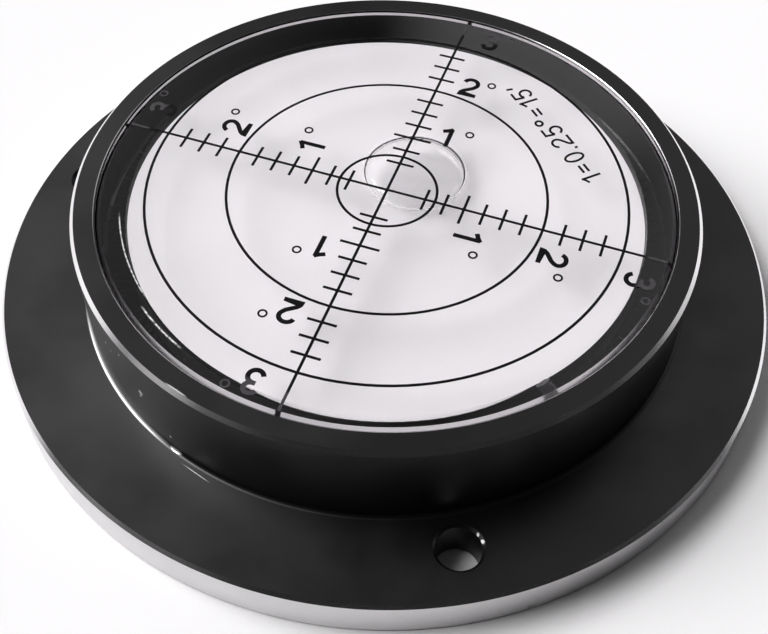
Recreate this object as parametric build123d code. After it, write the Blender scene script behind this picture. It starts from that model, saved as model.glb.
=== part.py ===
from build123d import *
from math import atan, degrees, radians, sqrt, tan
import os

# Flange-mounted bullseye level: a bubble under a spherical dome, read against a printed scale.
# The frame has its origin at the centre of the flange's underside, +Z up along the axis of
# symmetry and +Y along one arm of the printed crosshair. Sizes are in millimetres and degrees.

# Housing: flange, collar and floor turned from one aluminium bar
flange_diameter = 100.0
flange_thickness = 5.7
flange_edge_chamfer = 0.4
underside_edge_chamfer = 0.2
overall_height = 18.6
collar_wall = 3.05
foot_radius = 0.5
rim_outer_chamfer = 0.45
rim_inner_chamfer = 0.25
pocket_corner_radius = 0.3

# Clearance holes for three M5 screws, and the flat left on either side of them
hole_count = 3
hole_diameter = 5.3
hole_edge_chamfer = 0.35
hole_to_collar = 1.5
hole_to_edge = 3.5
first_hole_azimuth = 60.0

# Vial: clear cap with its side wall, standing in the housing's pocket
vial_clearance = 0.1
vial_top_below_rim = 0.27
vial_edge_chamfer = 0.5
vial_skirt_chamfer = 0.4
crown_thickness = 2.0
vial_wall = 3.2
dome_corner_radius = 0.5

# White disc that closes the vial, and the cement and adhesive under it
liquid_depth = 3.3
base_thickness = 3.0
base_clearance = 0.05
skirt_depth = 2.2
cement_leg = 1.2
bedding_thickness = 0.35
bedding_inset = 0.4

# Filling hole through the vial's wall and the pin that closes it
filler_diameter = 1.8
filler_clearance = 0.02
filler_azimuth = -38.5
filler_below_crown = 2.1

# Printed scale: divisions of a quarter of a degree, out to a plain margin round the vial's top
division_angle = 0.25
divisions_per_degree = 4
degrees_shown = 3
scale_margin = 5.85
arm_count = 4
centre_circle_diameter = 12.5
first_circle_degree = 2
first_tick_division = 2
tick_length = 3.6
degree_tick_length = 5.0
line_width = 0.35
ink_thickness = 0.05

# Bubble: a flat cushion of air, at rest where the photograph shows it
bubble_diameter = 13.4
bubble_thickness = 2.3
bubble_shoulder_width = 1.6
bubble_shoulder_height = 1.0
bubble_belly_width = 3.7
bubble_film = 0.05
bubble_offset = 6.15
bubble_azimuth = 73.6

# How near an edge has to be to count as the one that is looked for
edge_tolerance = 0.001

# Angles of a circle
quarter_turn = 90
full_turn = 4 * quarter_turn

# What follows from the sizes above
flange_radius = flange_diameter / 2
hole_radius = hole_diameter / 2
hole_mouth_radius = hole_radius + hole_edge_chamfer
hole_circle_radius = flange_radius - hole_to_edge - hole_mouth_radius
collar_radius = hole_circle_radius - hole_mouth_radius - hole_to_collar
pocket_radius = collar_radius - collar_wall
vial_radius = pocket_radius - vial_clearance
chamber_radius = vial_radius - vial_wall
base_radius = chamber_radius - base_clearance
scale_radius = vial_radius - scale_margin
division_pitch = scale_radius / (degrees_shown * divisions_per_degree)
dome_radius = division_pitch / tan(radians(division_angle))

vial_top = overall_height - vial_top_below_rim
crown_z = vial_top - crown_thickness
base_top = crown_z - liquid_depth
base_bottom = base_top - base_thickness
vial_bottom = base_bottom - skirt_depth
pocket_floor = vial_bottom - bedding_thickness
dome_centre_z = crown_z - dome_radius
filler_z = crown_z - filler_below_crown


def dome_height(radius, sphere_radius=dome_radius):
    """Height of a sphere about the dome's centre, at a distance from the axis."""
    return dome_centre_z + sqrt(sphere_radius**2 - radius**2)


def turned(*outline):
    """A turned piece: a closed half section in the XZ plane, spun about Z."""
    section = make_face(Plane.XZ * Wire(outline))
    return revolve(section, Axis.Z)


def disc(radius, bottom, top):
    """A plain disc on the axis."""
    blank = Cylinder(radius, top - bottom, align=(Align.CENTER, Align.CENTER, Align.MIN))
    return Pos(0, 0, bottom) * blank


def ring(inner_radius, outer_radius, bottom, top):
    """A plain ring of rectangular section."""
    corners = [
        (inner_radius, bottom),
        (outer_radius, bottom),
        (outer_radius, top),
        (inner_radius, top),
    ]
    return turned(*Polyline(corners, close=True).edges())


def rim(body, radius, height):
    """The circular edges of a body that have a radius and lie at a height."""

    def is_rim(edge):
        same_size = abs(edge.radius - radius) < edge_tolerance
        return same_size and abs(edge.arc_center.Z - height) < edge_tolerance

    return body.edges().filter_by(GeomType.CIRCLE).filter_by(is_rim)


def make_housing():
    """Flange, collar, pocket and the three chamfered holes."""
    bar = disc(flange_radius, 0, flange_thickness) + disc(collar_radius, 0, overall_height)
    body = bar - disc(pocket_radius, pocket_floor, overall_height)

    body = fillet(rim(body, collar_radius, flange_thickness), foot_radius)
    body = fillet(rim(body, pocket_radius, pocket_floor), pocket_corner_radius)
    body = chamfer(rim(body, flange_radius, flange_thickness), flange_edge_chamfer)
    body = chamfer(rim(body, flange_radius, 0), underside_edge_chamfer)
    body = chamfer(rim(body, collar_radius, overall_height), rim_outer_chamfer)
    body = chamfer(rim(body, pocket_radius, overall_height), rim_inner_chamfer)

    mouth = Cone(
        hole_radius,
        hole_mouth_radius,
        hole_edge_chamfer,
        align=(Align.CENTER, Align.CENTER, Align.MAX),
    )
    bore = disc(hole_radius, 0, flange_thickness)
    drill = bore + Pos(0, 0, flange_thickness) * mouth + mirror(mouth, Plane.XY)
    for index in range(hole_count):
        azimuth = first_hole_azimuth + index * full_turn / hole_count
        body -= Rot(0, 0, azimuth) * Pos(hole_circle_radius, 0, 0) * drill
    return body


def make_chamber(bottom):
    """The space under the dome, down to a height: a plain bore with a rounded top corner."""
    edge_height = dome_height(chamber_radius)
    crown = ThreePointArc(
        (chamber_radius, edge_height),
        (chamber_radius / 2, dome_height(chamber_radius / 2)),
        (0, crown_z),
    )
    sides = Polyline((0, crown_z), (0, bottom), (chamber_radius, bottom), (chamber_radius, edge_height))
    chamber = turned(crown, *sides.edges())
    return fillet(rim(chamber, chamber_radius, edge_height), dome_corner_radius)


def make_filler(radius):
    """A round bar along the filling hole, longer than the wall is thick."""
    bar = Rot(0, quarter_turn, 0) * Cylinder(radius, 2 * vial_wall)
    middle = vial_radius - vial_wall / 2
    return Rot(0, 0, filler_azimuth) * Pos(middle, 0, filler_z) * bar


def make_vial():
    """The clear cap: chamfered top, side wall and the ground spherical underside."""
    outline = Polyline(
        [
            (0, vial_top),
            (vial_radius - vial_edge_chamfer, vial_top),
            (vial_radius, vial_top - vial_edge_chamfer),
            (vial_radius, vial_bottom + vial_skirt_chamfer),
            (vial_radius - vial_skirt_chamfer, vial_bottom),
            (0, vial_bottom),
        ],
        close=True,
    )
    cap = turned(*outline.edges()) - make_chamber(vial_bottom)
    return cap - make_filler(filler_diameter / 2)


def make_filler_plug():
    """The closing pin, its ends flush with both faces of the wall."""
    pin = make_filler(filler_diameter / 2 - filler_clearance)
    return pin & ring(chamber_radius, vial_radius, vial_bottom, vial_top)


def make_base_disc():
    """The white disc, a close fit in the vial's bore."""
    return disc(base_radius, base_bottom, base_top)


def make_cement_bead():
    """Three-cornered bead in the angle between the base disc and the skirt."""
    outline = Polyline(
        [
            (chamber_radius, base_bottom),
            (chamber_radius - cement_leg, base_bottom),
            (chamber_radius, base_bottom - cement_leg),
        ],
        close=True,
    )
    return turned(*outline.edges())


def make_bedding_ring():
    """The layer of adhesive between the vial's skirt and the pocket's floor."""
    return ring(
        chamber_radius + bedding_inset,
        vial_radius - vial_skirt_chamfer,
        pocket_floor,
        vial_bottom,
    )


def make_bubble():
    """The bubble's half section, spun upright and then swung about the dome's centre."""
    radius = bubble_diameter / 2
    flat_radius = radius - bubble_shoulder_width
    belly_radius = radius - bubble_belly_width
    ceiling_radius = dome_radius - bubble_film
    shoulder_top = dome_height(flat_radius, ceiling_radius)
    widest = shoulder_top - bubble_shoulder_height
    bottom = dome_height(0, ceiling_radius) - bubble_thickness

    top = ThreePointArc(
        (0, dome_height(0, ceiling_radius)),
        (flat_radius / 2, dome_height(flat_radius / 2, ceiling_radius)),
        (flat_radius, shoulder_top),
    )
    shoulder = EllipticalCenterArc(
        (flat_radius, widest),
        bubble_shoulder_width,
        bubble_shoulder_height,
        start_angle=0,
        arc_size=quarter_turn,
    )
    belly = EllipticalCenterArc(
        (belly_radius, widest),
        bubble_belly_width,
        widest - bottom,
        start_angle=-quarter_turn,
        arc_size=quarter_turn,
    )
    closing = Polyline((belly_radius, bottom), (0, bottom), (0, dome_height(0, ceiling_radius)))
    upright = turned(top, shoulder, belly, *closing.edges())

    tilt = degrees(atan(bubble_offset / dome_radius))
    swing = Pos(0, 0, dome_centre_z) * Rot(0, 0, bubble_azimuth) * Rot(0, tilt, 0)
    return swing * Pos(0, 0, -dome_centre_z) * upright


def make_liquid(bubble):
    """All of the chamber that the bubble leaves."""
    return make_chamber(base_top) - bubble


def make_graduation():
    """Crosshair, circles and ticks as one raised layer of ink on the vial's top."""
    arm_length = 2 * (vial_radius - vial_edge_chamfer)
    marks = Rectangle(arm_length, line_width) + Rectangle(line_width, arm_length)

    degree_pitch = divisions_per_degree * division_pitch
    degree_circles = [count * degree_pitch for count in range(first_circle_degree, degrees_shown + 1)]
    for radius in [centre_circle_diameter / 2, *degree_circles]:
        marks += Circle(radius + line_width / 2) - Circle(radius - line_width / 2)

    for division in range(first_tick_division, degrees_shown * divisions_per_degree):
        on_degree = division % divisions_per_degree == 0
        if on_degree and division >= first_circle_degree * divisions_per_degree:
            continue
        length = degree_tick_length if on_degree else tick_length
        tick = Pos(0, division * division_pitch) * Rectangle(length, line_width)
        for arm in range(arm_count):
            marks += Rot(0, 0, arm * full_turn / arm_count) * tick
    return extrude(Pos(0, 0, vial_top) * marks, ink_thickness)


bubble = make_bubble()
nodes = {
    "housing": make_housing(),
    "vial": make_vial(),
    "base_disc": make_base_disc(),
    "filler_plug": make_filler_plug(),
    "cement_bead": make_cement_bead(),
    "bedding_ring": make_bedding_ring(),
    "graduation": make_graduation(),
    "liquid": make_liquid(bubble),
    "bubble": bubble,
}

os.makedirs("parts", exist_ok=True)
for name, solid in nodes.items():
    export_step(solid, f"parts/{name}.step")
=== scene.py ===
from math import asin, cos, pi, radians, sin, sqrt

import bpy
from mathutils import Matrix, Vector


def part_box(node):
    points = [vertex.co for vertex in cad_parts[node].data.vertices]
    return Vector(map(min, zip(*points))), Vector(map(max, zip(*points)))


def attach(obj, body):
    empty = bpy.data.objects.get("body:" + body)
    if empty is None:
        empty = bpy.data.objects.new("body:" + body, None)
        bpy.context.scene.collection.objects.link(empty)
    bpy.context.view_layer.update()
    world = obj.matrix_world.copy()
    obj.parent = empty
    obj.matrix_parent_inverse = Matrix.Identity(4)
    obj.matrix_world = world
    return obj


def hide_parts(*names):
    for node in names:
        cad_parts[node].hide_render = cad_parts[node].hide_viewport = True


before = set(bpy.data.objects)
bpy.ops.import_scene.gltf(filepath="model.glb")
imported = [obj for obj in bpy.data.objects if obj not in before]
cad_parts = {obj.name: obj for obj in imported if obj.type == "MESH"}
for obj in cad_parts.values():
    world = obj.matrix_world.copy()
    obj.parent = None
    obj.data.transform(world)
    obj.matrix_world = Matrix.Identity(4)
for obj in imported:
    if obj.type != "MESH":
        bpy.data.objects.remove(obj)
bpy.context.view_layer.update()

mm = 0.001

# The view
# The level lies flat and is seen from close by, fifty degrees above the table. The camera stands
# eighteen degrees round from the crosshair's lower arm, a little turned about its own line of sight.
camera_turn = radians(18.16)
camera_elevation = radians(49.581)
camera_distance = 159.73 * mm
camera_tilt = radians(-1.566)
camera_roll = radians(1.415)
camera_lens = 54.62
camera_sensor = 36
nearest_seen = camera_distance / 20
farthest_seen = camera_distance * 60

camera_data = bpy.data.cameras.new("camera")
camera_data.lens = camera_lens
camera_data.sensor_width = camera_sensor
camera_data.clip_start = nearest_seen
camera_data.clip_end = farthest_seen
camera = bpy.data.objects.new("camera", camera_data)
bpy.context.collection.objects.link(camera)
bpy.context.scene.camera = camera

turn_about_level = Matrix.Rotation(camera_turn, 4, "Z")
look_down = Matrix.Rotation(pi / 2 - camera_elevation + camera_tilt, 4, "X")
roll_about_sight = Matrix.Rotation(camera_roll, 4, "Z")
stand = Vector((0, -cos(camera_elevation), sin(camera_elevation))) * camera_distance
camera.matrix_world = turn_about_level @ Matrix.Translation(stand) @ look_down @ roll_about_sight


# Housing
# One piece of aluminium, turned, drilled and black anodised. The flange's side wall, the outer
# chamfers and the strip of pocket wall beside the vial's edge were cut afterwards and are bare
# metal. The vial stands in its pocket.
housing_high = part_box("housing")[1]
flange_radius = housing_high.x
rim_height = housing_high.z
flange_thickness = 5.7 * mm
flange_edge_chamfer = 0.4 * mm
underside_edge_chamfer = 0.2 * mm
collar_radius = 39 * mm
foot_radius = 0.5 * mm
rim_outer_chamfer = 0.45 * mm
rim_inner_chamfer = 0.25 * mm
pocket_radius = 35.95 * mm
pocket_corner_radius = 0.3 * mm
pocket_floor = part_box("bedding_ring")[0].z
vial_edge_chamfer = 0.5 * mm
groove_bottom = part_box("vial")[1].z - vial_edge_chamfer

hole_count = 3
hole_circle_radius = 43.5 * mm
hole_radius = 2.65 * mm
hole_edge_chamfer = 0.35 * mm
first_hole_azimuth = radians(60)

turning_steps = 512
corner_steps = 6
join_distance = 1e-7


def corner(centre, radius, start, end):
    """The points of a rounded corner in a half section, from one angle to another in degrees."""
    points = []
    for step in range(corner_steps + 1):
        angle = radians(start + (end - start) * step / corner_steps)
        points.append((centre[0] + radius * cos(angle), centre[1] + radius * sin(angle)))
    return points


def deselect():
    """Nothing selected, so that the next operator takes only what is made for it."""
    bpy.ops.object.select_all(action="DESELECT")


def turned(name, outline):
    """A piece turned on a lathe: its half section drawn point by point and spun about Z."""
    deselect()
    bpy.ops.mesh.primitive_plane_add(size=mm)
    piece = bpy.context.object
    piece.name = name
    bpy.ops.object.mode_set(mode="EDIT")
    bpy.ops.mesh.merge(type="CENTER")
    bpy.ops.transform.translate(value=(outline[0][0], 0, outline[0][1]))
    for (radius, height), (next_radius, next_height) in zip(outline, outline[1:]):
        step = (next_radius - radius, 0, next_height - height)
        bpy.ops.mesh.extrude_region_move(TRANSFORM_OT_translate={"value": step})
    bpy.ops.mesh.select_all(action="SELECT")
    bpy.ops.mesh.spin(steps=turning_steps, angle=2 * pi, center=(0, 0, 0), axis=(0, 0, 1))
    bpy.ops.mesh.select_all(action="SELECT")
    bpy.ops.mesh.remove_doubles(threshold=join_distance)
    bpy.ops.mesh.normals_make_consistent(inside=False)
    bpy.ops.object.mode_set(mode="OBJECT")
    return piece


def cut(piece, cutter, operation="DIFFERENCE"):
    """Takes a cutter's shape out of a piece, or adds it, and removes the cutter."""
    modifier = piece.modifiers.new("cut", "BOOLEAN")
    modifier.operation = operation
    modifier.solver = "EXACT"
    modifier.object = cutter
    bpy.context.view_layer.objects.active = piece
    bpy.ops.object.modifier_apply(modifier=modifier.name)
    bpy.data.objects.remove(cutter)


def smooth_faces(piece, limit=30):
    """Round faces shade smoothly, and edges sharper than the limit in degrees stay crisp."""
    deselect()
    piece.select_set(True)
    bpy.context.view_layer.objects.active = piece
    bpy.ops.object.shade_smooth_by_angle(angle=radians(limit))


foot_centre = (collar_radius + foot_radius, flange_thickness + foot_radius)
pocket_corner_centre = (pocket_radius - pocket_corner_radius, pocket_floor + pocket_corner_radius)
housing = turned(
    "flanged_housing",
    [
        (0, 0),
        (flange_radius - underside_edge_chamfer, 0),
        (flange_radius, underside_edge_chamfer),
        (flange_radius, flange_thickness - flange_edge_chamfer),
        (flange_radius - flange_edge_chamfer, flange_thickness),
        *corner(foot_centre, foot_radius, -90, -180),
        (collar_radius, rim_height - rim_outer_chamfer),
        (collar_radius - rim_outer_chamfer, rim_height),
        (pocket_radius + rim_inner_chamfer, rim_height),
        (pocket_radius, rim_height - rim_inner_chamfer),
        (pocket_radius, groove_bottom),
        *corner(pocket_corner_centre, pocket_corner_radius, 0, -90),
        (0, pocket_floor),
    ],
)

cone_end_radius = hole_radius + 2 * hole_edge_chamfer
for index in range(hole_count):
    drill = turned(
        "drill",
        [
            (0, -hole_edge_chamfer),
            (cone_end_radius, -hole_edge_chamfer),
            (hole_radius, hole_edge_chamfer),
            (hole_radius, flange_thickness - hole_edge_chamfer),
            (cone_end_radius, flange_thickness + hole_edge_chamfer),
            (0, flange_thickness + hole_edge_chamfer),
        ],
    )
    azimuth = first_hole_azimuth + index * 2 * pi / hole_count
    outwards = Matrix.Translation((hole_circle_radius, 0, 0))
    drill.data.transform(Matrix.Rotation(azimuth, 4, "Z") @ outwards)
    cut(housing, drill)
smooth_faces(housing)


def add_node(tree, kind, inputs, **settings):
    """A node of a kind, with its settings, and its inputs linked or set."""
    node = tree.nodes.new(kind)
    for name, value in settings.items():
        setattr(node, name, value)
    for name, value in inputs.items():
        if isinstance(value, bpy.types.NodeSocket):
            tree.links.new(value, node.inputs[name])
        else:
            node.inputs[name].default_value = value
    return node


class Finish:
    """A material's nodes, added one by one and linked by name."""

    def __init__(self, name):
        self.material = bpy.data.materials.new(name)
        self.material.use_nodes = True
        self.tree = self.material.node_tree
        self.tree.nodes.clear()
        self.output = self.tree.nodes.new("ShaderNodeOutputMaterial")
        self.place = self.add("ShaderNodeTexCoord").outputs["Object"]

    def add(self, kind, inputs=None, **settings):
        """A node of this material."""
        return add_node(self.tree, kind, inputs or {}, **settings)

    def math(self, operation, *values):
        """The result of a sum on numbers or sockets."""
        return self.add("ShaderNodeMath", dict(enumerate(values)), operation=operation).outputs[0]

    def length(self, vector):
        """How long a vector is."""
        return self.add("ShaderNodeVectorMath", {0: vector}, operation="LENGTH").outputs["Value"]

    def between(self, value, low, high, low_result=0.0, high_result=1.0):
        """A smooth step from one result to another while a value goes from low to high."""
        inputs = {
            "Value": value,
            "From Min": low,
            "From Max": high,
            "To Min": low_result,
            "To Max": high_result,
        }
        return self.add("ShaderNodeMapRange", inputs, interpolation_type="SMOOTHSTEP").outputs[0]

    def noise(self, scale, detail=2.0, place=None):
        """Grey noise of about so many grains to the metre."""
        inputs = {"Vector": place or self.place, "Scale": scale, "Detail": detail}
        return self.add("ShaderNodeTexNoise", inputs).outputs[0]

    def mixed(self, share, first, second):
        """One colour turning into another."""
        inputs = {0: share, 6: first, 7: second}
        return self.add("ShaderNodeMix", inputs, data_type="RGBA").outputs[2]

    def blended(self, share, first, second):
        """One shader turning into another."""
        return self.add("ShaderNodeMixShader", {0: share, 1: first, 2: second}).outputs[0]

    def bump(self, height, distance, strength=1.0):
        """A surface normal from a height."""
        inputs = {"Height": height, "Distance": distance, "Strength": strength}
        return self.add("ShaderNodeBump", inputs).outputs[0]

    def for_light(self, shader, onward):
        """A shader as the eye meets it, and another one for shadow and diffuse rays."""
        path = self.add("ShaderNodeLightPath").outputs
        for ray in ("Is Shadow Ray", "Is Diffuse Ray"):
            shader = self.blended(path[ray], shader, onward)
        return shader

    def let_by(self, shader):
        """Lets light for the dial through: a ray that has crossed the liquid goes straight on, because
        in the clear cap the light really comes down too steeply to be held back."""
        path = self.add("ShaderNodeLightPath").outputs
        inside = self.math("GREATER_THAN", path["Transparent Depth"], 0.5)
        passing = self.add("ShaderNodeBsdfTransparent").outputs[0]
        return self.for_light(shader, self.blended(inside, shader, passing))

    def shown(self, shader):
        """Puts a shader on the surface and gives the finished material."""
        self.tree.links.new(shader, self.output.inputs["Surface"])
        return self.material


def cylindrical(finish):
    """A point's distance from the axis and its height, for marks that a lathe leaves."""
    split = finish.add("ShaderNodeSeparateXYZ", {0: finish.place}).outputs
    across = finish.add("ShaderNodeCombineXYZ", {"X": split["X"], "Y": split["Y"]}).outputs[0]
    return finish.length(across), split["Z"]


def towards(finish, azimuth, distance):
    """How nearly a point lies in a direction from the axis: one straight on, and less to the sides."""
    inputs = {0: finish.place, 1: (cos(azimuth), sin(azimuth), 0)}
    along = finish.add("ShaderNodeVectorMath", inputs, operation="DOT_PRODUCT").outputs["Value"]
    return finish.math("DIVIDE", along, distance)


lathe_groove_pitch = 0.12 * mm


def lathe_grooves(finish, distance, height, detail):
    """The fine rings that the tool leaves."""
    rings = finish.add("ShaderNodeCombineXYZ", {"X": distance, "Y": height}).outputs[0]
    return finish.noise(1 / lathe_groove_pitch, detail, rings)


anodised_groove_depth = 0.0006 * mm
anodised_black = (0.0016, 0.0013, 0.0016, 1)
anodised_worn = (0.0036, 0.0030, 0.0036, 1)
anodised_roughness = (0.28, 0.40)
anodised_clouds = 90.0
anodised_grain = 9000.0
anodised_grain_share = 0.8

# Where the black is chipped or rubbed through: azimuth and lean in degrees, then the distance from
# the axis, the height, and half the mark's length, width and depth in millimetres
rubbed_marks = [
    (-126.9, 0, 39.0, 14.8, 0.20, 0.2, 0.20),
    (-125.1, 0, 39.0, 14.6, 0.16, 0.2, 0.16),
    (-121.5, 0, 39.0, 16.4, 0.22, 0.2, 0.15),
    (-116.6, 0, 39.0, 12.6, 0.42, 0.2, 0.55),
    (-116.9, 0, 39.0, 11.8, 0.22, 0.2, 0.25),
    (-110.3, 0, 39.0, 8.0, 0.22, 0.2, 0.22),
    (-107.2, 0, 38.45, 18.6, 1.80, 0.12, 0.25),
    (-109.4, 0, 39.2, 5.9, 1.15, 0.3, 0.25),
    (-103.8, -3.3, 40.0, 5.7, 2.40, 0.03, 0.20),
    (-56.4, -50, 43.25, 5.5, 0.42, 0.3, 0.35),
    (-56.7, -20, 42.3, 5.5, 0.20, 0.3, 0.35),
]
rubbed_foot_middle = radians(-129)
rubbed_foot_span = radians(20)
rubbed_foot_share = 0.55
rubbed_foot_top = flange_thickness + 0.45 * mm
rubbed_foot_edge = collar_radius + foot_radius
rubbed_foot_fade = 0.2 * mm


def rubbed(finish, distance, height):
    """How far the black is gone: small chips and scratches, and a stretch along the collar's foot."""
    facing = towards(finish, rubbed_foot_middle, distance)
    least = cos(rubbed_foot_span)
    share = finish.between(facing, least, cos(rubbed_foot_span / 3), 0.0, rubbed_foot_share)
    low = finish.between(height, rubbed_foot_top - rubbed_foot_fade, rubbed_foot_top, 1.0, 0.0)
    near = finish.between(distance, rubbed_foot_edge - rubbed_foot_fade, rubbed_foot_edge, 1.0, 0.0)
    share = finish.math("MULTIPLY", finish.math("MULTIPLY", share, low), near)
    for azimuth, lean, from_axis, above, half_length, half_width, half_depth in rubbed_marks:
        around = radians(azimuth)
        inputs = {
            "Vector": finish.place,
            "Location": (from_axis * mm * cos(around), from_axis * mm * sin(around), above * mm),
            "Rotation": (0, 0, around + radians(lean)),
            "Scale": (half_width * mm, half_length * mm, half_depth * mm),
        }
        local = finish.add("ShaderNodeMapping", inputs, vector_type="TEXTURE").outputs[0]
        chip = finish.between(finish.length(local), 0.5, 1.0, 1.0, 0.0)
        share = finish.math("MAXIMUM", share, chip)
    return share


bare_metal_light = (0.90, 0.89, 0.90, 1)
bare_metal_dark = (0.80, 0.79, 0.80, 1)


def black_anodised():
    """Satin black over fine turning marks, a little uneven in shade and in gloss."""
    finish = Finish("black_anodised")
    distance, height = cylindrical(finish)
    grooves = lathe_grooves(finish, distance, height, 1.0)
    clouds = finish.noise(anodised_clouds, 3.0)
    grain = finish.noise(anodised_grain)
    relief = finish.math("ADD", grooves, finish.math("MULTIPLY", grain, anodised_grain_share))
    bare = rubbed(finish, distance, height)
    black = finish.mixed(clouds, anodised_black, anodised_worn)
    inputs = {
        "Base Color": finish.mixed(bare, black, bare_metal_light),
        "Metallic": bare,
        "Roughness": finish.between(clouds, 0.25, 0.75, *anodised_roughness),
        "Normal": finish.bump(relief, anodised_groove_depth),
    }
    return finish.shown(finish.let_by(finish.add("ShaderNodeBsdfPrincipled", inputs).outputs[0]))


bare_line_depth = 0.09 * mm
bare_line_fade = 0.03 * mm
broken_edge_roughness = (0.14, 0.24)
broken_edge_wear = 900.0


def broken_edge():
    """The rim's inner chamfer: still black, but rubbed bare along its upper edge."""
    finish = Finish("broken_edge")
    distance, height = cylindrical(finish)
    wear = finish.noise(broken_edge_wear, 3.0)
    line_bottom = rim_height - bare_line_depth
    upper = finish.between(height, line_bottom, line_bottom + bare_line_fade)
    bare = finish.math("MULTIPLY", upper, finish.between(wear, 0.3, 0.5, 0.8, 1.0))
    inputs = {
        "Base Color": finish.mixed(bare, anodised_black, bare_metal_dark),
        "Metallic": bare,
        "Roughness": finish.between(wear, 0.3, 0.7, *broken_edge_roughness),
    }
    return finish.shown(finish.let_by(finish.add("ShaderNodeBsdfPrincipled", inputs).outputs[0]))


bare_metal_clouds = 120.0


def bare_metal(name, light, dark, roughness, groove_depth):
    """Freshly cut aluminium with the lines of the tool running round it."""
    finish = Finish(name)
    distance, height = cylindrical(finish)
    grooves = lathe_grooves(finish, distance, height, 2.0)
    clouds = finish.noise(bare_metal_clouds, 3.0)
    inputs = {
        "Base Color": finish.mixed(finish.math("MULTIPLY", grooves, clouds), light, dark),
        "Roughness": finish.between(clouds, 0.25, 0.75, roughness * 0.85, roughness * 1.15),
        "Normal": finish.bump(grooves, groove_depth),
    }
    metal = finish.add("ShaderNodeBsdfPrincipled", inputs)
    metal.inputs["Metallic"].default_value = 1.0
    return finish.shown(finish.let_by(metal.outputs[0]))


def dress(piece, *finishes):
    """Gives a piece its finishes. Its faces have the first one until another is picked for them."""
    piece.data.materials.clear()
    for finish in finishes:
        piece.data.materials.append(finish)


def dress_faces(piece, finishes, surface):
    """Gives a piece named finishes, and each face the one that its place and slope call for."""
    dress(piece, *finishes.values())
    names = list(finishes)
    for face in piece.data.polygons:
        spread = sqrt(face.center.x**2 + face.center.y**2)
        face.material_index = names.index(surface(spread, face.center.z, face.normal.z))


side_wall_light = (0.68, 0.67, 0.68, 1)
side_wall_dark = (0.54, 0.53, 0.54, 1)
side_wall_roughness = 0.32
side_wall_groove_depth = 0.0008 * mm
chamfer_roughness = 0.14
chamfer_groove_depth = 0.0002 * mm
housing_finishes = {
    "anodised": black_anodised(),
    "side_wall": bare_metal(
        "turned_side_wall", side_wall_light, side_wall_dark, side_wall_roughness, side_wall_groove_depth
    ),
    "bare_cut": bare_metal(
        "cut_chamfer", bare_metal_light, bare_metal_dark, chamfer_roughness, chamfer_groove_depth
    ),
    "broken_edge": broken_edge(),
}
face_tolerance = 0.02 * mm
wall_top = flange_thickness - flange_edge_chamfer
beyond_holes = hole_circle_radius + cone_end_radius


def housing_surface(spread, height, upward):
    """Which finish a face of the housing has, from its distance to the axis, its height and slope."""
    slanted = 0.5 < upward < 0.9
    if spread > flange_radius - face_tolerance and height < wall_top:
        return "side_wall"
    if abs(spread - pocket_radius) < face_tolerance and height > groove_bottom:
        return "bare_cut"
    if slanted and height > rim_height - rim_inner_chamfer and spread < collar_radius - rim_outer_chamfer:
        return "broken_edge"
    if slanted and (spread > beyond_holes or height > rim_height - rim_outer_chamfer):
        return "bare_cut"
    return "anodised"


dress_faces(housing, housing_finishes, housing_surface)
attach(housing, "level")
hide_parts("housing")


# Vial
# A clear acrylic cap, turned and polished, cemented into the pocket. Its underside is ground to
# the long radius that sets the level's sensitivity, and the liquid stands right against it.
vial_low, vial_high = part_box("vial")
vial_radius = vial_high.x
vial_top = vial_high.z
vial_bottom = vial_low.z
chamber_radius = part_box("liquid")[1].x
crown_thickness = 2 * mm
crown_height = vial_top - crown_thickness
base_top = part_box("base_disc")[1].z
base_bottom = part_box("base_disc")[0].z
vial_skirt_chamfer = 0.4 * mm
worn_band_radius = 32.7 * mm
dome_corner_radius = 0.5 * mm
dome_corner_end = 88
dome_steps = 24

degrees_shown = 3
division_angle = radians(0.25)
division_pitch = 2.5 * mm
dome_radius = division_pitch / sin(division_angle)
dome_centre = crown_height - dome_radius

filler_radius = 0.9 * mm
filler_azimuth = radians(-38.5)
filler_height = crown_height - 2.1 * mm
filler_sides = 48


def dome_height(radius, sphere_radius=dome_radius):
    """Height of the ground underside, or of a sphere about the same centre."""
    return dome_centre + sqrt(sphere_radius**2 - radius**2)


def chamber_top(inset=0.0):
    """The chamber's half section from its wall over the rounded corner to the crown."""
    wall = chamber_radius - inset
    edge = dome_height(wall) - inset
    rounding = (wall - dome_corner_radius, edge - dome_corner_radius)
    points = corner(rounding, dome_corner_radius, 0, dome_corner_end)
    for step in range(1, dome_steps + 1):
        radius = (wall - dome_corner_radius) * (1 - step / dome_steps)
        points.append((radius, dome_height(radius) - inset))
    return points


vial = turned(
    "clear_vial",
    [
        (0, vial_top),
        (worn_band_radius, vial_top),
        (vial_radius - vial_edge_chamfer, vial_top),
        (vial_radius, vial_top - vial_edge_chamfer),
        (vial_radius, vial_bottom + vial_skirt_chamfer),
        (vial_radius - vial_skirt_chamfer, vial_bottom),
        (chamber_radius, vial_bottom),
        (chamber_radius, base_bottom),
        (chamber_radius, base_top),
        *chamber_top(),
    ],
)

deselect()
filler_length = 2 * (vial_radius - chamber_radius)
bpy.ops.mesh.primitive_cylinder_add(vertices=filler_sides, radius=filler_radius, depth=filler_length)
filler_drill = bpy.context.object
into_wall = Matrix.Translation(((chamber_radius + vial_radius) / 2, 0, filler_height))
lying = Matrix.Rotation(pi / 2, 4, "Y")
filler_drill.data.transform(Matrix.Rotation(filler_azimuth, 4, "Z") @ into_wall @ lying)
cut(vial, filler_drill)
smooth_faces(vial)

acrylic_index = 1.49
acrylic_tint = (0.99, 0.985, 0.99, 1)
liquid_index = 1.40
untinted = (1, 1, 1, 1)

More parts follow.
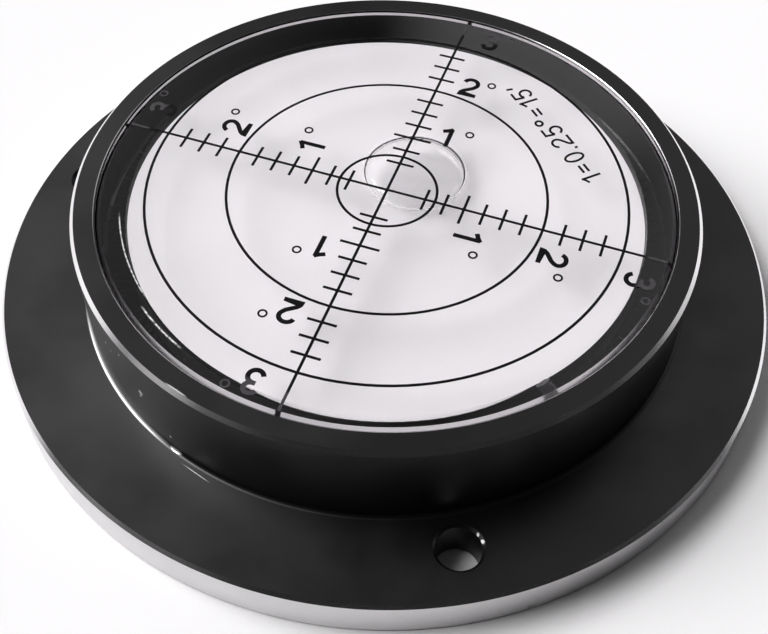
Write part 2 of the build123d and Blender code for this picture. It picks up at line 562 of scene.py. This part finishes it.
# Pale broken arcs round one side of the vial's top, painted on as a pale diffuse mark: distance from the
# axis and half width in millimetres, azimuth of the middle and half the span in degrees
top_pale_arcs = [
    (33.0, 0.11, -140.5, 13.0),
    (34.0, 0.15, -119.8, 7.0),
]
pale_arc_colour = (0.80, 0.79, 0.80, 1)
pale_arc_breaks = 2500.0


def pale_arcs(finish):
    """How far the outer band of the vial's top is covered by the pale arcs."""
    distance, height = cylindrical(finish)
    broken = finish.between(finish.noise(pale_arc_breaks), 0.35, 0.55, 0.25, 1.0)
    share = 0.0
    for from_axis, half_width, azimuth, half_span in top_pale_arcs:
        facing = towards(finish, radians(azimuth), distance)
        within = finish.between(facing, cos(radians(half_span)), cos(radians(half_span * 0.7)))
        aside = finish.math("ABSOLUTE", finish.math("SUBTRACT", distance, from_axis * mm))
        line = finish.between(aside, half_width * 0.4 * mm, half_width * mm, 1.0, 0.0)
        share = finish.math("MAXIMUM", share, finish.math("MULTIPLY", within, line))
    return finish.math("MULTIPLY", share, broken)


glass_haze = 400.0
glass_haze_roughness = 0.004


def clear(name, index, tint, roughness=0.0, passed=1.0, wear=None):
    """Glass-like matter of one index against what lies outside it. Light goes straight through it,
    or a share of the light does."""
    finish = Finish(name)
    haze = finish.noise(glass_haze)
    inputs = {
        "Color": tint,
        "Roughness": finish.between(haze, 0.3, 0.7, roughness, roughness + glass_haze_roughness),
        "IOR": index,
    }
    shader = finish.add("ShaderNodeBsdfGlass", inputs).outputs[0]
    onward = finish.add("ShaderNodeBsdfTransparent").outputs[0]
    if passed < 1:
        onward = finish.blended(passed, shader, onward)
    shader = finish.for_light(shader, onward)
    if wear:
        pale = finish.add("ShaderNodeBsdfDiffuse", {"Color": pale_arc_colour}).outputs[0]
        shader = finish.blended(wear(finish), shader, pale)
    return finish.shown(shader)


grains_to_a_cloud = 40
plain_roughness_range = 0.08


def plain(name, light, dark, roughness, cloud_scale, grain_depth):
    """An evenly coloured finish with faint clouds and a fine grain."""
    finish = Finish(name)
    clouds = finish.noise(cloud_scale, 3.0)
    grain = finish.noise(cloud_scale * grains_to_a_cloud)
    inputs = {
        "Base Color": finish.mixed(finish.between(clouds, 0.3, 0.7), light, dark),
        "Roughness": finish.between(clouds, 0.2, 0.8, roughness, roughness + plain_roughness_range),
        "Normal": finish.bump(grain, grain_depth),
    }
    return finish.shown(finish.add("ShaderNodeBsdfPrincipled", inputs).outputs[0])


bonding_black = (0.0010, 0.0009, 0.0010, 1)
bonding_pale = (0.0060, 0.0054, 0.0060, 1)
bonding_roughness = (0.5, 0.6)
bonding_clouds = 500.0
bonding_ripple = 0.02 * mm
faint_gloss = 0.1


def bonding():
    """The dark adhesive between the cap and its pocket, seen from inside through the clear wall."""
    finish = Finish("dark_bonding")
    clouds = finish.noise(bonding_clouds, 4.0)
    inputs = {
        "Base Color": finish.mixed(finish.between(clouds, 0.35, 0.65), bonding_black, bonding_pale),
        "Roughness": finish.between(clouds, 0.3, 0.7, *bonding_roughness),
        "Normal": finish.bump(clouds, bonding_ripple),
    }
    shader = finish.add("ShaderNodeBsdfPrincipled", inputs)
    shader.inputs["Specular IOR Level"].default_value = faint_gloss
    return finish.shown(finish.let_by(shader.outputs[0]))


frost_light = (0.76, 0.75, 0.76, 1)
frost_dark = (0.68, 0.67, 0.68, 1)
frost_roughness = (0.30, 0.36)
frost_grain = 6000.0
edge_ink = (0.02, 0.018, 0.02, 1)
edge_ink_reach = (0.35 * mm, 0.5 * mm)
edge_ink_unevenness = 0.2 * mm


def frosted_edge():
    """The vial's turned edge, left frosted by the tool, with ink run over it where the arms end."""
    finish = Finish("frosted_edge")
    frost = finish.noise(frost_grain)
    inputs = {
        "Color": finish.mixed(frost, frost_light, frost_dark),
        "Roughness": finish.between(frost, 0.3, 0.7, *frost_roughness),
        "IOR": acrylic_index,
    }
    glass = finish.add("ShaderNodeBsdfGlass", inputs).outputs[0]
    split = finish.add("ShaderNodeSeparateXYZ", {0: finish.place}).outputs
    from_x = finish.math("ABSOLUTE", split["X"])
    from_y = finish.math("ABSOLUTE", split["Y"])
    uneven = finish.math("MULTIPLY", frost, edge_ink_unevenness)
    from_arm = finish.math("ADD", finish.math("MINIMUM", from_x, from_y), uneven)
    inked = finish.between(from_arm, *edge_ink_reach, 1.0, 0.0)
    ink_part = finish.add("ShaderNodeBsdfDiffuse", {"Color": edge_ink}).outputs[0]
    return finish.shown(finish.blended(inked, glass, ink_part))


joint_light = (0.93, 0.92, 0.93, 1)
joint_dark = (0.84, 0.83, 0.84, 1)
joint_clouds = 800.0


def cemented_joint():
    """Acrylic cemented to acrylic: no surface is left that light would notice."""
    finish = Finish("cemented_joint")
    tint = finish.mixed(finish.noise(joint_clouds), joint_light, joint_dark)
    return finish.shown(finish.add("ShaderNodeBsdfTransparent", {"Color": tint}).outputs[0])


cemented_light = (0.05, 0.048, 0.05, 1)
cemented_dark = (0.10, 0.095, 0.10, 1)
vial_finishes = {
    "polished": clear("clear_acrylic", acrylic_index, acrylic_tint),
    "wet": clear("acrylic_to_liquid", acrylic_index / liquid_index, untinted),
    "bonded": bonding(),
    "cemented_wall": plain(
        "cemented_wall",
        cemented_light,
        cemented_dark,
        roughness=0.4,
        cloud_scale=200.0,
        grain_depth=0.004 * mm,
    ),
    "frosted": frosted_edge(),
    "filler_joint": cemented_joint(),
    "pale_arcs": clear("acrylic_with_pale_arcs", acrylic_index, acrylic_tint, wear=pale_arcs),
}


def vial_surface(spread, height, upward):
    """Which finish a face of the vial has, from its distance to the axis and its height."""
    chamber_side = spread < chamber_radius + face_tolerance
    if chamber_side and base_top < height < vial_top - crown_thickness / 2:
        return "wet"
    if chamber_side and height < base_top:
        return "cemented_wall"
    if height < vial_bottom + face_tolerance:
        return "bonded"
    if spread > vial_radius - face_tolerance and height < vial_top - vial_edge_chamfer:
        return "bonded"
    if spread > vial_radius - vial_edge_chamfer and height > vial_top - vial_edge_chamfer:
        return "frosted"
    if spread < vial_radius - face_tolerance and abs(height - filler_height) < filler_radius:
        return "filler_joint"
    if spread > worn_band_radius and height > vial_top - face_tolerance:
        return "pale_arcs"
    return "polished"


dress_faces(vial, vial_finishes, vial_surface)
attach(vial, "level")
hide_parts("vial")


# Plain pieces
# A white disc closes the chamber from below, with a bead of cement in the angle behind it. A pin
# closes the filling hole, adhesive beds the skirt, and the scale is printed on the vial's top.
disc_light = (0.875, 0.852, 0.875, 1)
disc_dark = (0.825, 0.803, 0.825, 1)
cement_light = (0.62, 0.58, 0.48, 1)
cement_dark = (0.52, 0.48, 0.40, 1)
adhesive_light = (0.20, 0.20, 0.19, 1)
adhesive_dark = (0.14, 0.14, 0.13, 1)

pin_tint = (0.95, 0.94, 0.95, 1)
pin_milk_light = (0.30, 0.29, 0.30, 1)
pin_milk_dark = (0.16, 0.15, 0.16, 1)
pin_roughness = 0.4
pin_clouds = 900.0


def pin_acrylic():
    """The pin's own clear acrylic, a little milky with cement."""
    finish = Finish("plug_acrylic")
    milk = finish.noise(pin_clouds, 3.0)
    clear_part = finish.add("ShaderNodeBsdfTransparent", {"Color": pin_tint}).outputs[0]
    inputs = {
        "Base Color": finish.mixed(milk, pin_milk_light, pin_milk_dark),
        "Roughness": pin_roughness,
    }
    milky_part = finish.add("ShaderNodeBsdfPrincipled", inputs).outputs[0]
    share = finish.between(milk, 0.42, 0.75, 0.02, 0.35)
    return finish.shown(finish.blended(share, clear_part, milky_part))


ink_black = (0.0030, 0.0027, 0.0030, 1)
ink_black_pale = (0.006, 0.0055, 0.006, 1)
# Painted sheen: a greyer ink colour, and the radii from which it takes over from the black, over the
# vial's wall
ink_painted_sheen = (0.058, 0.054, 0.058, 1)
ink_painted_sheen_pale = (0.070, 0.065, 0.070, 1)
ink_roughness = (0.36, 0.44)
ink_clouds = 700.0
painted_sheen_radii = (chamber_radius - 0.1 * mm, chamber_radius + 0.5 * mm)


def printed_ink():
    """Satin black ink, with a painted sheen: its colour is made greyer over the vial's wall, from the
    chamber's edge outwards.
    """
    finish = Finish("printed_ink")
    distance, height = cylindrical(finish)
    clouds = finish.noise(ink_clouds, 3.0)
    uneven = finish.between(clouds, 0.3, 0.7)
    black = finish.mixed(uneven, ink_black, ink_black_pale)
    painted_sheen = finish.mixed(uneven, ink_painted_sheen, ink_painted_sheen_pale)
    inputs = {
        # painted sheen: greyer ink from the chamber's edge outwards
        "Base Color": finish.mixed(finish.between(distance, *painted_sheen_radii), black, painted_sheen),
        "Roughness": finish.between(clouds, 0.2, 0.8, *ink_roughness),
    }
    shader = finish.add("ShaderNodeBsdfPrincipled", inputs)
    shader.inputs["Specular IOR Level"].default_value = faint_gloss
    return finish.shown(shader.outputs[0])


ink = printed_ink()
plain_finishes = {
    "base_disc": plain(
        "white_acrylic", disc_light, disc_dark, roughness=0.45, cloud_scale=60.0, grain_depth=0.002 * mm
    ),
    "cement_bead": plain(
        "cement", cement_light, cement_dark, roughness=0.30, cloud_scale=300.0, grain_depth=0.01 * mm
    ),
    "bedding_ring": plain(
        "adhesive", adhesive_light, adhesive_dark, roughness=0.55, cloud_scale=300.0, grain_depth=0.01 * mm
    ),
    "filler_plug": pin_acrylic(),
    "graduation": ink,
}
for name, finish in plain_finishes.items():
    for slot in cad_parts[name].material_slots:
        slot.material = finish


# Liquid
# The chamber is filled with a clear spirit of nearly the acrylic's own index. It fills all of the
# space under the dome and flows out of the bubble's way.
liquid_inset = 0.02 * mm
liquid_pale_tint = (0.995, 0.995, 0.995, 1)
liquid_clouds = 50.0
liquid = turned(
    "clear_liquid",
    [
        (0, base_top + liquid_inset),
        (chamber_radius - liquid_inset, base_top + liquid_inset),
        *chamber_top(liquid_inset),
    ],
)
smooth_faces(liquid)

liquid_finish = Finish("clear_liquid")
liquid_tint = liquid_finish.mixed(liquid_finish.noise(liquid_clouds, 1.0), untinted, liquid_pale_tint)
liquid_shader = liquid_finish.add("ShaderNodeBsdfTransparent", {"Color": liquid_tint}).outputs[0]
dress(liquid, liquid_finish.shown(liquid_shader))
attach(liquid, "level")
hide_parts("liquid")


# Bubble
# A flat cushion of air. It presses up against the dome, its shoulder is tightly rounded and its
# belly bulges down into the liquid. It rides on its own body and swings about the dome's centre.
bubble_radius = 6.7 * mm
bubble_thickness = 2.3 * mm
bubble_shoulder_width = 1.6 * mm
bubble_shoulder_height = 1.0 * mm
bubble_belly_width = 3.7 * mm
bubble_film = 0.05 * mm
bubble_offset = 6.15 * mm
bubble_azimuth = radians(73.6)
bubble_roughness = 0.03
bubble_light_passed = 0.6
shoulder_steps = 16

ceiling = dome_radius - bubble_film
flat_radius = bubble_radius - bubble_shoulder_width
belly_radius = bubble_radius - bubble_belly_width
widest = dome_height(flat_radius, ceiling) - bubble_shoulder_height
belly = dome_height(0, ceiling) - bubble_thickness
bubble_outline = []
for radius in (0, flat_radius / 2):
    bubble_outline.append((radius, dome_height(radius, ceiling)))
for step in range(shoulder_steps + 1):
    angle = pi / 2 * (1 - step / shoulder_steps)
    out = flat_radius + bubble_shoulder_width * cos(angle)
    bubble_outline.append((out, widest + bubble_shoulder_height * sin(angle)))
for step in range(1, shoulder_steps + 1):
    angle = pi / 2 * step / shoulder_steps
    out = belly_radius + bubble_belly_width * cos(angle)
    bubble_outline.append((out, widest - (widest - belly) * sin(angle)))
bubble_outline.append((0, belly))

bubble = turned("air_bubble", bubble_outline)
to_centre = Matrix.Translation((0, 0, dome_centre))
lean = Matrix.Rotation(asin(bubble_offset / dome_radius), 4, "Y")
bubble.data.transform(to_centre @ Matrix.Rotation(bubble_azimuth, 4, "Z") @ lean @ to_centre.inverted())
smooth_faces(bubble, limit=60)
dress(bubble, clear("air", 1 / liquid_index, untinted, bubble_roughness, bubble_light_passed))
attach(bubble, "bubble")
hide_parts("bubble")


# Numerals
# Printed in the same ink as the scale: the degrees 1, 2 and 3 beside each arm of the crosshair,
# in bold strokes of even width, each with its small ring, their tops towards the rim.
ink_thickness = 0.05 * mm
numeral_height = 3.77 * mm
numeral_stroke = 0.155
numeral_across = 4.1 * mm
first_numeral_base = 10.0 * mm
numeral_pitch = 10.42 * mm
degree_across = 6.83 * mm
degree_along = 3.17 * mm
degree_radius = 0.48 * mm
degree_line = 0.24 * mm
arm_count = 4
bow_step = 12
ring_sides = 48
zero_half_width = 0.29


def bow(centre, across, along, start, end):
    """Points along part of an ellipse, clockwise from one angle to another in degrees."""
    count = round((start - end) / bow_step)
    points = []
    for step in range(count + 1):
        angle = radians(start + (end - start) * step / count)
        points.append((centre[0] + across * cos(angle), centre[1] + along * sin(angle)))
    return points


def strokes(character, line):
    """The centre lines of a character one unit high, for strokes of a given width."""
    edge = line / 2
    top = 1 - edge
    middle = 0.5475
    if character == "1":
        return [[(0.09, 0), (0.09, top - 0.02)], [(0.13, top - 0.02), (-0.02, 0.80), (-0.20, 0.715)]]
    if character == "2":
        bowl = bow((0, 0.70), 0.245, top - 0.70, 168, -32)
        neck = [(0.125, 0.475), (-0.02, 0.37), (-0.16, 0.27), (-0.24, 0.17)]
        return [bowl + neck + [(-0.255, edge), (0.325, edge)]]
    if character == "3":
        upper = bow((-0.01, (top + middle) / 2), 0.205, (top - middle) / 2, 162, -90)
        lower = bow((-0.015, (edge + middle) / 2), 0.235, (middle - edge) / 2, 90, -162)
        return [upper + [(-0.10, middle)], [(-0.10, middle)] + lower]
    if character == "5":
        bar = [(0.25, top), (-0.17, top), (-0.225, 0.50)]
        return [bar, bow((-0.005, 0.325), 0.245, 0.325 - edge, 142, -158)]
    if character == "=":
        return [[(-0.24, 0.36), (0.24, 0.36)], [(-0.24, 0.62), (0.24, 0.62)]]
    if character == ".":
        return [[(0, 0), (0, line * 1.2)]]
    return [[(0.03, 1), (-0.03, 0.70)]]


def ribbon(path, line):
    """The outline of a stroke of even width, with sharp corners where the path turns."""
    points = [Vector(point) for point in path]
    left = []
    right = []
    for index, point in enumerate(points):
        incoming = (point - points[index - 1]).normalized() if index else None
        outgoing = (points[index + 1] - point).normalized() if index + 1 < len(points) else incoming
        incoming = incoming or outgoing
        along = (incoming + outgoing).normalized()
        side = Vector((-along.y, along.x)) * line / 2 / along.dot(incoming)
        left.append(point + side)
        right.append(point - side)
    return left + right[::-1]


def flat_shape(outline, size):
    """A layer of ink with a given outline, which is scaled to its size."""
    deselect()
    bpy.ops.mesh.primitive_circle_add(vertices=len(outline), radius=1, fill_type="NGON")
    shape = bpy.context.object
    for vertex, point in zip(shape.data.vertices, outline):
        vertex.co = (point[0] * size, point[1] * size, 0)
    bpy.ops.object.mode_set(mode="EDIT")
    bpy.ops.mesh.select_all(action="SELECT")
    bpy.ops.mesh.extrude_region_move(TRANSFORM_OT_translate={"value": (0, 0, ink_thickness)})
    bpy.ops.mesh.select_all(action="SELECT")
    bpy.ops.mesh.normals_make_consistent(inside=False)
    bpy.ops.object.mode_set(mode="OBJECT")
    return shape


def flat_ring(across, along, line):
    """An oval ring of ink, given its centre line's half width and half height."""
    deselect()
    bpy.ops.mesh.primitive_cylinder_add(vertices=ring_sides, radius=1, depth=ink_thickness)
    ring = bpy.context.object
    ring.data.transform(Matrix.Diagonal((across + line / 2, along + line / 2, 1, 1)))
    bpy.ops.mesh.primitive_cylinder_add(vertices=ring_sides, radius=1, depth=3 * ink_thickness)
    hole = bpy.context.object
    hole.data.transform(Matrix.Diagonal((across - line / 2, along - line / 2, 1, 1)))
    cut(ring, hole)
    ring.data.transform(Matrix.Translation((0, 0, ink_thickness / 2)))
    return ring


def printed(character, height, line):
    """One character as a layer of ink: its foot on the X axis and its middle at the origin."""
    if character == "0":
        edge = line / 2
        ring = flat_ring(height * (zero_half_width - edge), height * (0.5 - edge), height * line)
        ring.data.transform(Matrix.Translation((0, height / 2, 0)))
        return ring
    shapes = [flat_shape(ribbon(path, line), height) for path in strokes(character, line)]
    for added in shapes[1:]:
        cut(shapes[0], added, "UNION")
    return shapes[0]


def joined(name, pieces):
    """Several pieces made one."""
    deselect()
    for piece in pieces:
        piece.select_set(True)
    bpy.context.view_layer.objects.active = pieces[0]
    bpy.ops.object.join()
    pieces[0].name = name
    return pieces[0]


on_top = Matrix.Translation((0, 0, vial_top))
marks = []
for arm in range(arm_count):
    arm_turn = on_top @ Matrix.Rotation(arm * 2 * pi / arm_count, 4, "Z")
    for degree in range(1, degrees_shown + 1):
        base = first_numeral_base + (degree - 1) * numeral_pitch
        numeral = printed(str(degree), numeral_height, numeral_stroke)
        numeral.data.transform(arm_turn @ Matrix.Translation((numeral_across, base, 0)))
        ring = flat_ring(degree_radius, degree_radius, degree_line)
        ring.data.transform(arm_turn @ Matrix.Translation((degree_across, base + degree_along, 0)))
        marks += [numeral, ring]
numerals = joined("degree_numerals", marks)
dress(numerals, ink)
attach(numerals, "level")


# Legend
# A straight line of plain figures between two arms, in a lighter stroke, their tops towards the
# dial's centre: one division in degrees and in minutes of arc. A star stands for the degree ring.
legend_characters = "1=0.25*=15'"
legend_azimuth = radians(45)
legend_foot_distance = 25.8 * mm
legend_start = -9.9 * mm
legend_height = 2.88 * mm
legend_stroke = 0.11
legend_gap = 0.27 * mm
legend_gap_at_equals = 0.47 * mm
legend_ring_radius = 0.16 * legend_height
legend_ring_drop = 1.3 * legend_ring_radius

legend_turn = on_top @ Matrix.Rotation(legend_azimuth, 4, "Z")
shapes = []
reached = legend_start
for character in legend_characters:
    if character == "*":
        shape = flat_ring(legend_ring_radius, legend_ring_radius, legend_stroke * legend_height)
        shape.data.transform(Matrix.Translation((0, legend_height - legend_ring_drop, 0)))
    else:
        shape = printed(character, legend_height, legend_stroke)
    widths = [vertex.co.x for vertex in shape.data.vertices]
    gap = legend_gap_at_equals if character == "=" else legend_gap
    middle = reached + gap - min(widths)
    foot = Matrix.Translation((legend_foot_distance, middle, 0)) @ Matrix.Rotation(pi / 2, 4, "Z")
    shape.data.transform(legend_turn @ foot)
    reached = middle + max(widths) + gap
    shapes.append(shape)
legend = joined("scale_legend", shapes)
dress(legend, ink)
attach(legend, "level")


# Table and light
# A plain white table and a pale studio: a broad window on the left, less light on the right, and
# a dark room in front. The window's side makes the bare metal bright and leaves the far side grey.
table_size = 8
table_light = (0.96, 0.955, 0.96, 1)
table_dark = (0.95, 0.945, 0.95, 1)
table_clouds = 2.0
deselect()
bpy.ops.mesh.primitive_plane_add(size=table_size)
table = bpy.context.object
table.name = "table"
table_finish = Finish("table_white")
table_shade = table_finish.mixed(table_finish.noise(table_clouds), table_light, table_dark)
table_shader = table_finish.add("ShaderNodeBsdfDiffuse", {"Color": table_shade}).outputs[0]
dress(table, table_finish.shown(table_shader))

# Where the room is lighter or darker: azimuth from the camera's right hand and elevation, then how
# far from there the change is full and where it ends, all in degrees, and the change itself
sky_level = 0.09
sky_least = 0.02
sky_white = (1, 0.99, 1, 1)
sky_patches = [
    (168, 46, 12, 28, 8.9),    # window on the left
    (158, 4, 8, 30, 1.0),      # left horizon
    (-166, 27, 6, 18, 0.35),   # low beside the window
    (81, 38, 2, 8, 0.9),       # behind the level
    (56, 51, 6, 20, 0.65),     # right and behind
    (114, 48, 6, 20, 0.33),    # left and behind
    (112, 28, 2, 7, 5.0),      # small window behind
    (30, 4, 8, 32, 0.55),      # right horizon
    (-90, 35, 25, 50, -0.07),  # the dark room in front
    (-38, 32, 18, 36, -0.06),  # its right corner
]
world = bpy.data.worlds.new("studio")
bpy.context.scene.world = world
world.use_nodes = True
sky = world.node_tree
background = sky.nodes["Background"]
direction = add_node(sky, "ShaderNodeTexCoord", {}).outputs["Generated"]

level = sky_level
for azimuth, elevation, inner, outer, change in sky_patches:
    around = radians(azimuth) + camera_turn
    above = radians(elevation)
    middle = (cos(around) * cos(above), sin(around) * cos(above), sin(above))
    facing = add_node(sky, "ShaderNodeVectorMath", {0: direction, 1: middle}, operation="DOT_PRODUCT")
    limits = {
        "Value": facing.outputs["Value"],
        "From Min": cos(radians(outer)),
        "From Max": cos(radians(inner)),
        "To Max": change,
    }
    patch = add_node(sky, "ShaderNodeMapRange", limits, interpolation_type="SMOOTHSTEP").outputs[0]
    level = add_node(sky, "ShaderNodeMath", {0: patch, 1: level}, operation="ADD").outputs[0]
level = add_node(sky, "ShaderNodeMath", {0: level, 1: sky_least}, operation="MAXIMUM").outputs[0]
sky.links.new(level, background.inputs["Strength"])
background.inputs["Color"].default_value = sky_white

bpy.context.scene.view_settings.view_transform = "Standard"
